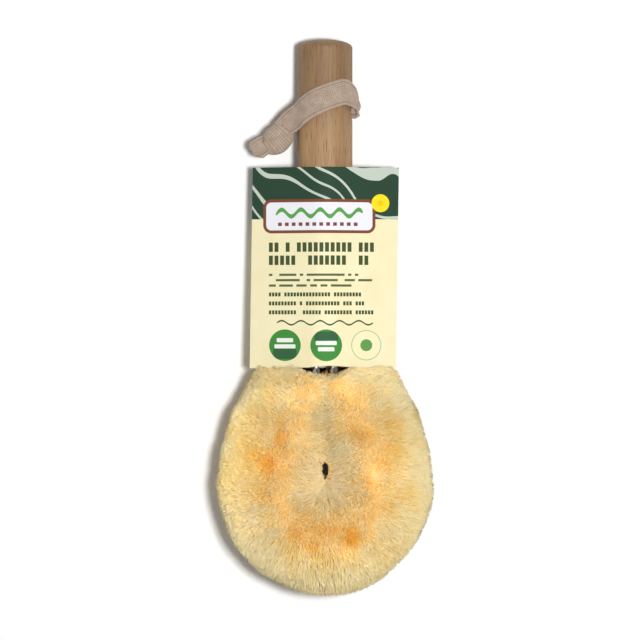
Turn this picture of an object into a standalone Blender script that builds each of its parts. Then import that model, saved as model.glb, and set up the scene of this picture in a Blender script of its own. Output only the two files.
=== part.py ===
# A pan brush: plant fibres gripped in a loop of twisted wire, on a dowel handle
# with a tape loop and a card sleeve.
#
# The brush is laid out flat around the middle of its loop: +Y runs to the handle's free end,
# +X across the head and +Z out of its face. The frame that carries every piece then tips it
# onto the head's back edge and the handle's end, as the brush lies on a table.

import math
import random

import bmesh
import bpy
from mathutils import Vector
from mathutils.geometry import interpolate_bezier

# wire loop
wire_diameter = 0.0018
strand_gap = 0.0003
twist_pitch = 0.012
stem_spacing = 0.0078
loop_radius = 0.0215
side_radius = 0.055
neck_radius = 0.012
side_turn = math.radians(27)

# fibre filling
tuft_radius = 0.026
packed_radius = 0.015
middle_hole_radius = 0.0015
slit_width = 0.0006
fibre_over_neck = 0.0006
flat_depth = 0.0005
strand_root_width = 0.0026
strand_tip_width = 0.0014
least_strand_gap = 0.0003
close_strand_gap = 0.0033
least_strand_length = 0.003
trim_unevenness = 0.001

# handle
handle_diameter = 0.024
handle_length = 0.1381
dome_rise = 0.0035
foot_chamfer = 0.0008
bare_neck = 0.0058
wire_bore_depth = 0.035
hole_from_end = 0.0321
hole_clearance = 0.0004

# card sleeve
card_width = 0.064
card_below_hole = 0.024
card_thickness = 0.00045
card_play = 0.0008
card_aside = 0.0003
card_skew = 0.0013

# tape loop
tape_width = 0.0112
tape_thickness = 0.0011
bunched_width = 0.0062
bunched_thickness = 0.002
creased_width = 0.0084
creased_thickness = 0.0014
bulge_out = 0.0042
wrap_rise = 0.0088
wrap_drop = 0.0092
knot_aside = 0.0188
knot_below_hole = 0.0106
knot_length = 0.0115
knot_breadth = 0.0104
knot_depth = 0.0088
swing_height = 0.0022
tail_reach = 0.0155
tail_width = 0.0084

# fits
clearance = 0.0003
overrun = 0.002

# counts and shares
section_count = 12
rows_per_section = 4
around_count = 14
bore_sides = 7
fan_share = 1.06
most_of_cell_share = 0.75
lean_share = 0.12
sag_share = 0.45
upper_socket_shares = (0.2, 0.6, 0.45)
lower_socket_shares = (0.17, 0.62, -0.25)
tail_lift_share = 0.8
tail_end_share = 0.7
handle_sides = 48
bore_facets = 12
hole_facets = 24
dome_steps = 5
card_arc_steps = 8
stations_per_turn = 8
bulge_points = 9
run_points = 6
wrap_steps = 10
knot_segments = 16
knot_rings = 8
smooth_below = math.radians(35)

handle_radius = handle_diameter / 2
stem_x = stem_spacing / 2
wire_radius = wire_diameter / 2
twist_radius = (wire_diameter + strand_gap) / 2
cable_radius = twist_radius + wire_radius

# heights along the brush, from the middle of the loop
turn_in = 1 - math.cos(side_turn)
straight_length = (
    loop_radius - stem_x - (side_radius + neck_radius) * turn_in
) / math.sin(side_turn)
neck_top = (side_radius + neck_radius) * math.sin(side_turn)
neck_top += straight_length * math.cos(side_turn)
head_top = neck_top + fibre_over_neck
handle_foot = head_top + bare_neck
handle_end = handle_foot + handle_length
handle_shoulder = handle_end - dome_rise
bore_end = handle_foot + wire_bore_depth
fan_length = fan_share * tuft_radius * math.tan(side_turn)
hole_height = handle_end - hole_from_end
card_foot = head_top + clearance
card_height = hole_height - card_below_hole - card_foot

# how the brush lies: tipped about X until the head's back edge and the handle's end touch
tip_angle = math.atan2(
    tuft_radius - flat_depth - handle_radius, handle_shoulder - head_top
)
axis_height = handle_shoulder * math.sin(tip_angle) + handle_radius * math.cos(tip_angle)
low_end = loop_radius * math.cos(tip_angle) + tuft_radius
high_end = handle_end * math.cos(tip_angle)
middle_offset = (high_end - low_end) / 2


def clear_scene():
    for old in list(bpy.data.objects):
        bpy.data.objects.remove(old, do_unlink=True)


def make_material(name, colour, roughness, metallic=0.0):
    material = bpy.data.materials.new(name)
    material.use_nodes = True
    shader = material.node_tree.nodes["Principled BSDF"]
    shader.inputs["Base Color"].default_value = (*colour, 1.0)
    shader.inputs["Roughness"].default_value = roughness
    shader.inputs["Metallic"].default_value = metallic
    return material


def make_frame(name, parent=None, location=(0.0, 0.0, 0.0), rotation=(0.0, 0.0, 0.0)):
    frame = bpy.data.objects.new(name, None)
    bpy.context.scene.collection.objects.link(frame)
    frame.parent = parent
    frame.location = location
    frame.rotation_euler = rotation
    return frame


# Every piece is drawn in the brush's own coordinates, whichever frame carries it.
def place(thing, frame, material):
    bpy.context.scene.collection.objects.link(thing)
    thing.parent = frame
    if frame.parent is not None:
        thing.location = -frame.location
    thing.data.materials.append(material)
    return thing


def finish_mesh(name, shape, frame, material, smooth=True):
    bmesh.ops.recalc_face_normals(shape, faces=shape.faces)
    mesh = bpy.data.meshes.new(name)
    shape.to_mesh(mesh)
    shape.free()
    if smooth:
        mesh.shade_smooth()
        mesh.set_sharp_from_angle(angle=smooth_below)
    return place(bpy.data.objects.new(name, mesh), frame, material)


def cut_away(thing, cutter):
    cutter.hide_render = True
    cutter.display_type = "WIRE"
    cut = thing.modifiers.new(cutter.name, "BOOLEAN")
    cut.operation = "DIFFERENCE"
    cut.solver = "EXACT"
    cut.object = cutter


def join_on(thing, extra):
    extra.hide_render = True
    extra.display_type = "WIRE"
    join = thing.modifiers.new(extra.name, "BOOLEAN")
    join.operation = "UNION"
    join.solver = "EXACT"
    join.object = extra


# The wire's route: down one stem, round the loop and up the other. Each leg has a length and
# the angle that it turns through. The heading is 0 where the wire runs straight down.
route_legs = [
    (bore_end - neck_top, 0.0),
    (neck_radius * side_turn, side_turn),
    (straight_length, 0.0),
    (side_radius * side_turn, -side_turn),
    (loop_radius * math.pi, -math.pi),
    (side_radius * side_turn, -side_turn),
    (straight_length, 0.0),
    (neck_radius * side_turn, side_turn),
    (bore_end - neck_top, 0.0),
]
route_length = sum(length for length, turn in route_legs)
head_start = bore_end - head_top
head_length = route_length - 2 * head_start


def route_at(distance):
    x, y, heading = stem_x, bore_end, 0.0
    for length, turn in route_legs:
        run = min(distance, length)
        if turn == 0.0:
            x += run * math.sin(heading)
            y -= run * math.cos(heading)
        else:
            bend = turn / length
            new_heading = heading + bend * run
            x += (math.cos(heading) - math.cos(new_heading)) / bend
            y += (math.sin(heading) - math.sin(new_heading)) / bend
            heading = new_heading
        distance -= run
        if distance <= 0.0:
            break
    return Vector((x, y, 0.0)), heading


def outward(heading):
    return Vector((math.cos(heading), math.sin(heading), 0.0))


def along(heading):
    return Vector((math.sin(heading), -math.cos(heading), 0.0))


# Fibre planes. Each is square to the wire, but near the neck they fan out until the last one
# is square to the handle, so that no two of them meet inside the head.
def fibre_plane(distance):
    point, heading = route_at(head_start + distance)
    from_top = min(distance, head_length - distance)
    if from_top < fan_length:
        lift = math.asin(math.sin(side_turn) * from_top / fan_length)
        heading = lift if distance < head_length / 2 else -math.pi - lift
    if point.y > 0.0:
        reach = (abs(point.x) - slit_width / 2) / abs(math.cos(heading))
        reach = min(reach, loop_radius - middle_hole_radius)
    else:
        reach = loop_radius - middle_hole_radius
    return point, heading, reach


def in_plane(plane, angle, radius, shift=0.0):
    point, heading, reach = plane
    out = max(radius * math.cos(angle), -reach)
    place_in_plane = point + outward(heading) * out + along(heading) * shift
    place_in_plane.z = radius * math.sin(angle)
    return place_in_plane


def packed_reach(angle):
    inward = max(0.0, -math.cos(angle)) ** 2
    full = loop_radius - middle_hole_radius
    return packed_radius + (full - packed_radius) * inward


def trim_to_table(point):
    height = axis_height - point.y * math.sin(tip_angle) + point.z * math.cos(tip_angle)
    if height < 0.0:
        point.z -= height / math.cos(tip_angle)
    return point


def between(corners, along_share, around_share):
    near = corners[0].lerp(corners[1], around_share)
    far = corners[3].lerp(corners[2], around_share)
    return near.lerp(far, along_share)


def patch(corners, width, lean=(0.0, 0.0)):
    along_size = (between(corners, 1.0, 0.5) - between(corners, 0.0, 0.5)).length
    around_size = (between(corners, 0.5, 1.0) - between(corners, 0.5, 0.0)).length
    half_along = min(most_of_cell_share, width / along_size) / 2
    half_around = min(most_of_cell_share, width / around_size) / 2
    middle_along, middle_around = 0.5 + lean[0], 0.5 + lean[1]
    return [
        between(corners, middle_along - half_along, middle_around - half_around),
        between(corners, middle_along - half_along, middle_around + half_around),
        between(corners, middle_along + half_along, middle_around + half_around),
        between(corners, middle_along + half_along, middle_around - half_around),
    ]


def strand_fits(planes, row, side, angles):
    middle = (angles[side] + angles[side + 1]) / 2
    corners = [in_plane(planes[row], middle, tuft_radius)]
    corners.append(in_plane(planes[row + 1], middle, tuft_radius))
    gap = (corners[1] - corners[0]).length
    if gap < least_strand_gap:
        return False
    if gap < close_strand_gap and (row + side) % 2:
        return False
    if tuft_radius - packed_reach(middle) < least_strand_length:
        return False
    shallowest = min(planes[row][2], planes[row + 1][2])
    return tuft_radius * math.cos(middle) - strand_tip_width > -shallowest


def add_strand(shape, face, outer, lean, long_share):
    corners = [corner.co.copy() for corner in face]
    tip_corners = [near.lerp(far, long_share) for near, far in zip(corners, outer)]
    root = [shape.verts.new(p) for p in patch(corners, strand_root_width)]
    tips = patch(tip_corners, strand_tip_width, lean)
    tip = [shape.verts.new(trim_to_table(p)) for p in tips]
    for this in range(4):
        after = (this + 1) % 4
        shape.faces.new((face[this], face[after], root[after], root[this]))
        shape.faces.new((root[this], root[after], tip[after], tip[this]))
    shape.faces.new(tip)


def make_fibre_section(number, frame, material, chance):
    first = number * rows_per_section
    rows = section_count * rows_per_section
    angles = [2 * math.pi * side / around_count for side in range(around_count + 1)]
    planes = [
        fibre_plane(head_length * (first + row) / rows)
        for row in range(rows_per_section + 1)
    ]
    shifts = [0.0] * (rows_per_section + 1)
    if number > 0:
        shifts[0] = clearance / 2
    if number < section_count - 1:
        shifts[-1] = -clearance / 2
    shape = bmesh.new()
    rings, bores = [], []
    bore_radius = (cable_radius + clearance) / math.cos(math.pi / bore_sides)
    tip_radius = tuft_radius / math.cos(math.pi / around_count)
    for plane, shift in zip(planes, shifts):
        ring = [
            shape.verts.new(in_plane(plane, angle, packed_reach(angle), shift))
            for angle in angles[:-1]
        ]
        rings.append(ring)
        bore_angles = [2 * math.pi * side / bore_sides for side in range(bore_sides)]
        bores.append(
            [shape.verts.new(in_plane(plane, turn, bore_radius, shift)) for turn in bore_angles]
        )
    for row in range(rows_per_section):
        for side in range(around_count):
            after = (side + 1) % around_count
            near, far = rings[row], rings[row + 1]
            face = (near[side], near[after], far[after], far[side])
            turned = (
                (chance.random() - 0.5) * 2 * lean_share,
                (chance.random() - 0.5) * 2 * lean_share,
            )
            shorter = chance.random() * trim_unevenness
            if not strand_fits(planes, row, side, angles):
                shape.faces.new(face)
                continue
            outer = [
                in_plane(planes[row], angles[side], tip_radius, shifts[row]),
                in_plane(planes[row], angles[side + 1], tip_radius, shifts[row]),
                in_plane(planes[row + 1], angles[side + 1], tip_radius, shifts[row + 1]),
                in_plane(planes[row + 1], angles[side], tip_radius, shifts[row + 1]),
            ]
            long_share = 1 - shorter / (tuft_radius - packed_radius)
            if outer[0].z < 0.0:
                long_share = 1.0
            add_strand(shape, face, outer, turned, long_share)
        for side in range(bore_sides):
            after = (side + 1) % bore_sides
            near, far = bores[row], bores[row + 1]
            shape.faces.new((near[side], far[side], far[after], near[after]))
    for ring, bore in ((rings[0], bores[0]), (rings[-1], bores[-1])):
        step = around_count // bore_sides
        for side in range(bore_sides):
            outside = [ring[(side * step + n) % around_count] for n in range(step + 1)]
            shape.faces.new(outside + [bore[(side + 1) % bore_sides], bore[side]])
    return finish_mesh(f"fibre_section_{number + 1:02d}", shape, frame, material, False)


def make_wire_strand(number, frame, material):
    stations = round(route_length / twist_pitch * stations_per_turn)
    points = []
    for station in range(stations + 1):
        distance = route_length * station / stations
        point, heading = route_at(distance)
        twist = 2 * math.pi * distance / twist_pitch + math.pi * number
        point += outward(heading) * twist_radius * math.cos(twist)
        point.z = twist_radius * math.sin(twist)
        points.append(point)
    curve = bpy.data.curves.new(f"wire_strand_{number + 1}", "CURVE")
    curve.dimensions = "3D"
    curve.bevel_depth = wire_radius
    curve.bevel_resolution = 1
    curve.use_fill_caps = True
    spline = curve.splines.new("POLY")
    spline.points.add(len(points) - 1)
    for spot, point in zip(spline.points, points):
        spot.co = (*point, 1.0)
    return place(bpy.data.objects.new(curve.name, curve), frame, material)


def turned_round_y(shape, profile, sides):
    rings = []
    for radius, height in profile:
        if radius == 0.0:
            rings.append([shape.verts.new((0.0, height, 0.0))])
            continue
        turns = [2 * math.pi * side / sides for side in range(sides)]
        rings.append(
            [
                shape.verts.new((radius * math.cos(turn), height, radius * math.sin(turn)))
                for turn in turns
            ]
        )
    for near, far in zip(rings, rings[1:]):
        for side in range(sides):
            after = (side + 1) % sides
            face = [near[side % len(near)], near[after % len(near)]]
            face += [far[after % len(far)], far[side % len(far)]]
            shape.faces.new(list(dict.fromkeys(face)))


def make_rod(name, start, end, radius, sides, frame):
    shape = bmesh.new()
    middle = (start + end) / 2
    turn = Vector((0.0, 0.0, 1.0)).rotation_difference(end - start).to_matrix().to_4x4()
    turn.translation = middle
    bmesh.ops.create_cone(
        shape, cap_ends=True, segments=sides, radius1=radius, radius2=radius,
        depth=(end - start).length, matrix=turn,
    )
    mesh = bpy.data.meshes.new(name)
    shape.to_mesh(mesh)
    shape.free()
    rod = bpy.data.objects.new(name, mesh)
    bpy.context.scene.collection.objects.link(rod)
    rod.parent = frame
    return rod


def make_handle(frame, material):
    profile = [(0.0, handle_foot), (handle_radius - foot_chamfer, handle_foot)]
    profile.append((handle_radius, handle_foot + foot_chamfer))
    for step in range(dome_steps):
        turn = math.pi / 2 * step / dome_steps
        height = handle_shoulder + dome_rise * math.sin(turn)
        profile.append((handle_radius * math.cos(turn), height))
    profile.append((0.0, handle_end))
    shape = bmesh.new()
    turned_round_y(shape, profile, handle_sides)
    handle = finish_mesh("handle", shape, frame, material)
    bore_radius = (cable_radius + clearance) / math.cos(math.pi / bore_facets)
    for side, name in ((1, "wire_bore_right"), (-1, "wire_bore_left")):
        start = Vector((side * stem_x, handle_foot - overrun, 0.0))
        end = Vector((side * stem_x, bore_end + wire_radius + clearance, 0.0))
        cut_away(handle, make_rod(name, start, end, bore_radius, bore_facets, frame))
    hole_radius = math.hypot(bunched_width / 2, bunched_thickness / 2) + hole_clearance
    start = Vector((-handle_radius - overrun, hole_height, 0.0))
    end = Vector((handle_radius + overrun, hole_height, 0.0))
    cut_away(handle, make_rod("strap_hole", start, end, hole_radius, hole_facets, frame))


# Flat panels run from each folded edge to the arc where they bend over the handle.
def card_outline(half_width, radius):
    slope = math.asin(radius / half_width)
    points = []
    for side in (1, -1):
        points.append(Vector((side * half_width, 0.0, 0.0)))
        for step in range(card_arc_steps + 1):
            turn = math.pi / 2 - slope + 2 * slope * step / card_arc_steps
            points.append(
                Vector((radius * math.cos(turn), 0.0, radius * math.sin(turn))) * side
            )
    return points


def make_card_sleeve(frame, material):
    outer_radius = handle_radius + card_play + card_thickness
    half_width = card_width / 2
    slope = math.asin(outer_radius / half_width)
    inner_half = half_width - card_thickness / math.sin(slope)
    outlines = [
        card_outline(half_width, outer_radius),
        card_outline(inner_half, outer_radius - card_thickness),
    ]
    shape = bmesh.new()
    rings = []
    for end_share in (-0.5, 0.5):
        height = card_foot + card_height * (0.5 + end_share)
        aside = card_skew * end_share - card_aside
        for outline in outlines:
            rings.append([shape.verts.new(p + Vector((aside, height, 0.0))) for p in outline])
    count = len(outlines[0])
    foot_out, foot_in, top_out, top_in = rings
    for this in range(count):
        after = (this + 1) % count
        for near, far in (
            (foot_out, top_out), (top_out, top_in), (top_in, foot_in), (foot_in, foot_out),
        ):
            shape.faces.new((near[this], near[after], far[after], far[this]))
    return finish_mesh("card_sleeve", shape, frame, material, False)


# The tape runs through stations: a middle point, a width and a thickness. Its flat side faces
# away from the handle's axis, or as near to the given direction as its run allows.
def tape_shape(stations, facing=None):
    shape = bmesh.new()
    rings = []
    for this, (point, width, thickness) in enumerate(stations):
        before = stations[max(this - 1, 0)][0]
        after = stations[min(this + 1, len(stations) - 1)][0]
        run = (after - before).normalized()
        face = Vector((0.0, 1.0, 0.0)).cross(run).normalized()
        if facing is not None:
            face = (facing - run * facing.dot(run)).normalized()
        across = run.cross(face)
        half, deep = width / 2, thickness / 2
        shoulder = half - deep
        section = [
            (half, 0.0), (shoulder, deep), (-shoulder, deep),
            (-half, 0.0), (-shoulder, -deep), (shoulder, -deep),
        ]
        rings.append(
            [shape.verts.new(point + across * wide + face * high) for wide, high in section]
        )
    for near, far in zip(rings, rings[1:]):
        for side in range(6):
            after = (side + 1) % 6
            shape.faces.new((near[side], near[after], far[after], far[side]))
    shape.faces.new(rings[0])
    shape.faces.new(rings[-1])
    return shape


def on_handle(turn, height, lift):
    reach = handle_radius + clearance + lift
    return Vector((reach * math.cos(turn), height, reach * math.sin(turn)))


def tapered(points, first, last):
    stations = []
    for step, point in enumerate(points):
        share = step / (len(points) - 1)
        width = first[0] + (last[0] - first[0]) * share
        thickness = first[1] + (last[1] - first[1]) * share
        stations.append((point, width, thickness))
    return stations


def cut_back(points, gap):
    first = points[0] + (points[1] - points[0]).normalized() * gap
    last = points[-1] + (points[-2] - points[-1]).normalized() * gap
    return [first, *points[1:-1], last]


bunched = (bunched_width, bunched_thickness)
flat = (tape_width, tape_thickness)
creased = (creased_width, creased_thickness)
lay_on = math.radians(52)
lay_off = math.radians(146)
knot_middle = Vector((-knot_aside, hole_height - knot_below_hole, 0.0))
knot_size = Vector((knot_breadth, knot_length, knot_depth))
upper_socket = knot_middle + knot_size * Vector(upper_socket_shares)
lower_socket = knot_middle + knot_size * Vector(lower_socket_shares)
upper_facing = Vector((math.cos(lay_off), 0.0, math.sin(lay_off)))
level = Vector((0.0, 0.0, 1.0))
into_knot = Vector((-0.45, -0.85, -0.3)).normalized()
tail_run = Vector((-0.92, -0.39, 0.0)).normalized()
short_run = tape_width / 8


def wrap_height(turn):
    share = (turn - lay_on) / (lay_off - lay_on)
    fall_share = (1 - sag_share) * share + sag_share * share * share
    return hole_height + wrap_rise - wrap_drop * fall_share


def wrap_leaving():
    point = on_handle(lay_off, wrap_height(lay_off), tape_thickness / 2)
    arc_length = (lay_off - lay_on) * math.hypot(point.x, point.z)
    slope = wrap_drop * (1 + sag_share) / arc_length
    return point, Vector((-math.sin(lay_off), -slope, math.cos(lay_off))).normalized()


def make_strap_wrap(frame, material):
    start = Vector((-handle_radius, hole_height, 0.0))
    leave = Vector((handle_radius + tape_thickness, hole_height, 0.0))
    land = on_handle(lay_on, wrap_height(lay_on), tape_thickness / 2)
    arriving = Vector((-math.sin(lay_on), 0.0, math.cos(lay_on)))
    bulge = interpolate_bezier(
        leave,
        leave + Vector((bulge_out, wrap_rise / 9, 0.0)),
        land - arriving * bulge_out - Vector((0.0, wrap_rise / 9, 0.0)),
        land,
        bulge_points,
    )
    stations = [(start, *bunched)]
    stations += tapered(bulge, bunched, flat)
    for step in range(1, wrap_steps + 1):
        turn = lay_on + (lay_off - lay_on) * step / wrap_steps
        point = on_handle(turn, wrap_height(turn), tape_thickness / 2)
        stations.append((point, *flat))
    point, leaving = wrap_leaving()
    stations.append((point + leaving * short_run, *flat))
    finish_mesh("strap_wrap", tape_shape(stations), frame, material, False)


def make_strap_runs(frame, material):
    point, leaving = wrap_leaving()
    upper = [point + leaving * short_run]
    upper += interpolate_bezier(
        point + leaving * short_run * 2,
        point + leaving * short_run * 3,
        upper_socket - into_knot * short_run * 2,
        upper_socket - into_knot * short_run,
        run_points,
    )
    upper.append(upper_socket)
    stations = tapered(cut_back(upper, clearance), flat, creased)
    finish_mesh("strap_upper_run", tape_shape(stations, upper_facing), frame, material, False)
    start = Vector((-handle_radius, hole_height, 0.0))
    sideways = Vector((-short_run, 0.0, 0.0))
    lower = [start]
    lower += interpolate_bezier(
        start + sideways,
        start + sideways * 2,
        lower_socket - into_knot * short_run * 2,
        lower_socket - into_knot * short_run,
        run_points,
    )
    lower.append(lower_socket)
    stations = tapered(cut_back(lower, clearance), bunched, bunched)
    finish_mesh("strap_lower_run", tape_shape(stations, level), frame, material, False)


def make_knot(frame, material):
    lump = bmesh.new()
    bmesh.ops.create_uvsphere(
        lump, u_segments=knot_segments, v_segments=knot_rings, radius=1.0
    )
    for corner in lump.verts:
        corner.co *= knot_size / 2
        corner.co += knot_middle
    knot = finish_mesh("strap_knot", lump, frame, material)
    heart = knot_middle + Vector((0.0, knot_length / 8, 0.0))
    upper_stub = [
        (upper_socket, *creased),
        (upper_socket + into_knot * short_run, *creased),
        (heart + level * knot_depth / 8, *bunched),
    ]
    lower_stub = [
        (lower_socket, *bunched),
        (lower_socket + into_knot * short_run, *bunched),
        (heart - level * knot_depth / 8, *bunched),
    ]
    parts = [("upper_stub", upper_stub, upper_facing), ("lower_stub", lower_stub, level)]
    for number, side in enumerate((1, -1)):
        lift = level * side * tape_thickness * tail_lift_share
        reach = tail_reach - number * tape_thickness
        start = knot_middle + lift
        stations = [
            (start, tail_width, tape_thickness),
            (start + tail_run * (reach - tail_width / 4), tail_width, tape_thickness),
            (start + tail_run * reach, tail_width * tail_end_share, tape_thickness),
        ]
        parts.append((f"tail_{number + 1}", stations, level))
    for name, stations, facing in parts:
        extra = finish_mesh(name, tape_shape(stations, facing), frame, material, False)
        join_on(knot, extra)


def main():
    clear_scene()
    wood = make_material("rubberwood", (0.38, 0.22, 0.12), 0.6)
    steel = make_material("galvanised_wire", (0.55, 0.55, 0.53), 0.35, 1.0)
    fibre = make_material("sisal", (0.87, 0.66, 0.36), 0.9)
    cotton = make_material("cotton_tape", (0.5, 0.4, 0.33), 0.95)
    card = make_material("printed_card", (0.95, 0.85, 0.6), 0.8)
    brush = make_frame(
        "brush_frame", None, (0.0, -middle_offset, axis_height), (-tip_angle, 0.0, 0.0)
    )
    make_handle(brush, wood)
    for number in range(2):
        make_wire_strand(number, brush, steel)
    chance = random.Random(5)
    for number in range(section_count):
        make_fibre_section(number, brush, fibre, chance)
    sliding = make_frame("card_slide", brush, (0.0, card_foot, 0.0))
    make_card_sleeve(sliding, card)
    make_strap_wrap(brush, cotton)
    make_strap_runs(brush, cotton)
    swinging = make_frame("strap_swing", brush, (-handle_radius, hole_height, swing_height))
    make_knot(swinging, cotton)


main()
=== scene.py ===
import math

import bmesh
import bpy
import numpy as np
from mathutils import Matrix, Vector, noise
from mathutils.geometry import interpolate_bezier


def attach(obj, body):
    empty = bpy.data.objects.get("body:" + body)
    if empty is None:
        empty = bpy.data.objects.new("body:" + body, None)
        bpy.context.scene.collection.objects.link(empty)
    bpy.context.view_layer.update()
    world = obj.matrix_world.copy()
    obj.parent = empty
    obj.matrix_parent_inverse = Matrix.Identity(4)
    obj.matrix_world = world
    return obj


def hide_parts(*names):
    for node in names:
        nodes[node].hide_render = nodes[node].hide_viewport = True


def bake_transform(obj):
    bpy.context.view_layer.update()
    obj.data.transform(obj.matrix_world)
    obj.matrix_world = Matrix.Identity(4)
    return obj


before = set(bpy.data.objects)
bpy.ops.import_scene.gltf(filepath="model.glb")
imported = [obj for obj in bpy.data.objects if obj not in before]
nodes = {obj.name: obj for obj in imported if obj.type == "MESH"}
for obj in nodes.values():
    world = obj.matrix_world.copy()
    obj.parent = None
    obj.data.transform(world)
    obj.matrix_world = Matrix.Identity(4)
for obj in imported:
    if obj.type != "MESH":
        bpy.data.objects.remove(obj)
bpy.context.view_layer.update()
mm = 0.001

# The brush lies tipped on its head's back edge and the handle's end. Pieces are drawn in the
# brush's own coordinates: +Y up the handle, +Z out of the face, 0 in the middle of the loop.
brushPose = {"tip": math.radians(-5.4923), "place": (0.0, -0.073415, 0.030286)}
toWorld = Matrix.Translation(brushPose["place"]) @ Matrix.Rotation(brushPose["tip"], 4, "X")


def hexColour(text):  # sRGB hex to the linear values that a socket takes
    values = [int(text[i : i + 2], 16) / 255 for i in (1, 3, 5)]
    linear = [v / 12.92 if v <= 0.04045 else ((v + 0.055) / 1.055) ** 2.4 for v in values]
    return (*linear, 1.0)


def setInputs(tree, node, inputs):  # a node given as a value stands for its first output in use
    for key, value in inputs.items() if isinstance(inputs, dict) else enumerate(inputs):
        if isinstance(value, bpy.types.Node):
            value = next(output for output in value.outputs if output.enabled)
        if isinstance(value, bpy.types.NodeSocket):
            tree.links.new(value, node.inputs[key])
        else:
            node.inputs[key].default_value = value


def addNode(tree, kind, settings={}, inputs={}):  # settings can be just the name of an operation
    node = tree.nodes.new(kind)
    if isinstance(settings, str):
        settings = {"operation": settings}
    for name, value in settings.items():
        setattr(node, name, value)
    setInputs(tree, node, inputs)
    return node


def startMaterial(name, inputs):
    material = bpy.data.materials.new(name)
    material.use_nodes = True
    shader = material.node_tree.nodes["Principled BSDF"]
    setInputs(material.node_tree, shader, inputs)
    return material, material.node_tree, shader


def brushPlace(tree):  # the brush's own coordinates, in millimetres
    spot = addNode(tree, "ShaderNodeTexCoord")
    return addNode(
        tree, "ShaderNodeMapping", {"vector_type": "TEXTURE"},
        {
            "Vector": spot.outputs["Object"],
            "Location": brushPose["place"],
            "Rotation": (brushPose["tip"], 0.0, 0.0),
            "Scale": (mm, mm, mm),
        },
    ).outputs[0]


def colourRamp(tree, factor, stops):
    ramp = addNode(tree, "ShaderNodeValToRGB", {}, {"Fac": factor})
    points = ramp.color_ramp.elements
    while len(points) < len(stops):
        points.new(0.5)
    for point, (place, colour) in zip(points, stops):
        point.position = place
        point.color = hexColour(colour)
    return ramp.outputs["Color"]


def meshObject(name, shape, material, body=None, smooth=True):
    mesh = bpy.data.meshes.new(name)
    shape.to_mesh(mesh)
    shape.free()
    thing = bpy.data.objects.new(name, mesh)
    bpy.context.scene.collection.objects.link(thing)
    for each in material if isinstance(material, list) else [material]:
        mesh.materials.append(each)
    if smooth:
        mesh.shade_smooth()
    if body:
        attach(thing, body)
    return thing


def ringCorners(rings):  # the corners of each face between one ring and the next
    for near, far in zip(rings, rings[1:]):
        for this in range(len(near)):
            after = (this + 1) % len(near)
            yield near[this], near[after], far[after], far[this]


def madePlain(thing):  # the evaluated mesh, with nothing live left on it
    mesh = bpy.data.meshes.new_from_object(thing.evaluated_get(bpy.context.evaluated_depsgraph_get()))
    thing.modifiers.clear()
    thing.data = mesh
    return mesh


# The camera looks straight down on the brush's face, as in the photograph.
view = {"frameWidth": 0.28, "distance": 2.0, "middle": (-0.0022, 0.0724, 0.0), "sensor": 36.0}
cameraData = bpy.data.cameras.new("camera")
cameraData.sensor_width = view["sensor"]
cameraData.lens = view["sensor"] * view["distance"] / view["frameWidth"]
cameraData.clip_end = 20.0
camera = bpy.data.objects.new("camera", cameraData)
bpy.context.scene.collection.objects.link(camera)
cameraPlace = Vector(view["middle"]) + Vector((0.0, 0.0, view["distance"]))
camera.matrix_world = toWorld @ Matrix.Translation(cameraPlace)
bpy.context.scene.camera = camera

studio = {
    "keyHeight": 1.5, "keyLean": (0.135, 0.085), "keySize": 0.16, "keyPower": 18.8,
    "worldStrength": 0.25, "whiteFrom": 0.16, "whiteTo": 0.45, "floorSize": 6.0,
}


def seenDirectly(tree):  # 1 where the camera sees this, also in a mirror or through glass
    path = addNode(tree, "ShaderNodeLightPath")
    either = addNode(
        tree, "ShaderNodeMath", "MAXIMUM",
        [path.outputs["Is Camera Ray"], path.outputs["Is Transmission Ray"]],
    )
    return addNode(tree, "ShaderNodeMath", "MAXIMUM", [either, path.outputs["Is Glossy Ray"]]).outputs[0]


world = bpy.data.worlds.new("studio")
bpy.context.scene.world = world
world.use_nodes = True
tree = world.node_tree
tree.nodes.clear()
seen = seenDirectly(tree)
soft = addNode(
    tree, "ShaderNodeBackground", {}, {"Color": (1, 1, 1, 1), "Strength": studio["worldStrength"]}
)
white = addNode(tree, "ShaderNodeBackground", {}, {"Color": (1, 1, 1, 1), "Strength": 1.0})
mixed = addNode(tree, "ShaderNodeMixShader", {}, [seen, soft, white])
addNode(tree, "ShaderNodeOutputWorld", {}, {"Surface": mixed})

keyData = bpy.data.lights.new("key", "AREA")
keyData.size = studio["keySize"]
keyData.energy = studio["keyPower"]
key = bpy.data.objects.new("key", keyData)
bpy.context.scene.collection.objects.link(key)
lean = studio["keyLean"]
key.location = (lean[0] * studio["keyHeight"], lean[1] * studio["keyHeight"], studio["keyHeight"])
key.rotation_euler = Vector(key.location).to_track_quat("Z", "Y").to_euler()

floorMaterial, tree, shader = startMaterial(
    "whitePaperFloor", {"Roughness": 0.9, "Base Color": hexColour("#ffffff")}
)
away = addNode(
    tree, "ShaderNodeVectorMath", "LENGTH",
    [addNode(tree, "ShaderNodeTexCoord").outputs["Object"]],
)
far = addNode(  # past the object's shadow the floor is plain white, right up to the horizon
    tree, "ShaderNodeMapRange", {"interpolation_type": "SMOOTHSTEP"},
    {"Value": away, "From Min": studio["whiteFrom"], "From Max": studio["whiteTo"]},
)
plainWhite = addNode(tree, "ShaderNodeEmission", {}, {"Color": (1, 1, 1, 1), "Strength": 1.0})
share = addNode(tree, "ShaderNodeMath", "MULTIPLY", [far, seenDirectly(tree)])
mixed = addNode(tree, "ShaderNodeMixShader", {}, [share, shader, plainWhite])
setInputs(tree, tree.nodes["Material Output"], {"Surface": mixed})
half = studio["floorSize"] / 2
shape = bmesh.new()
shape.faces.new([shape.verts.new((x * half, y * half, 0.0)) for x, y in ((-1, -1), (1, -1), (1, 1), (-1, 1))])
floor = meshObject("floor", shape, floorMaterial, smooth=False)
bpy.context.scene.view_settings.view_transform = "Standard"
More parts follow.
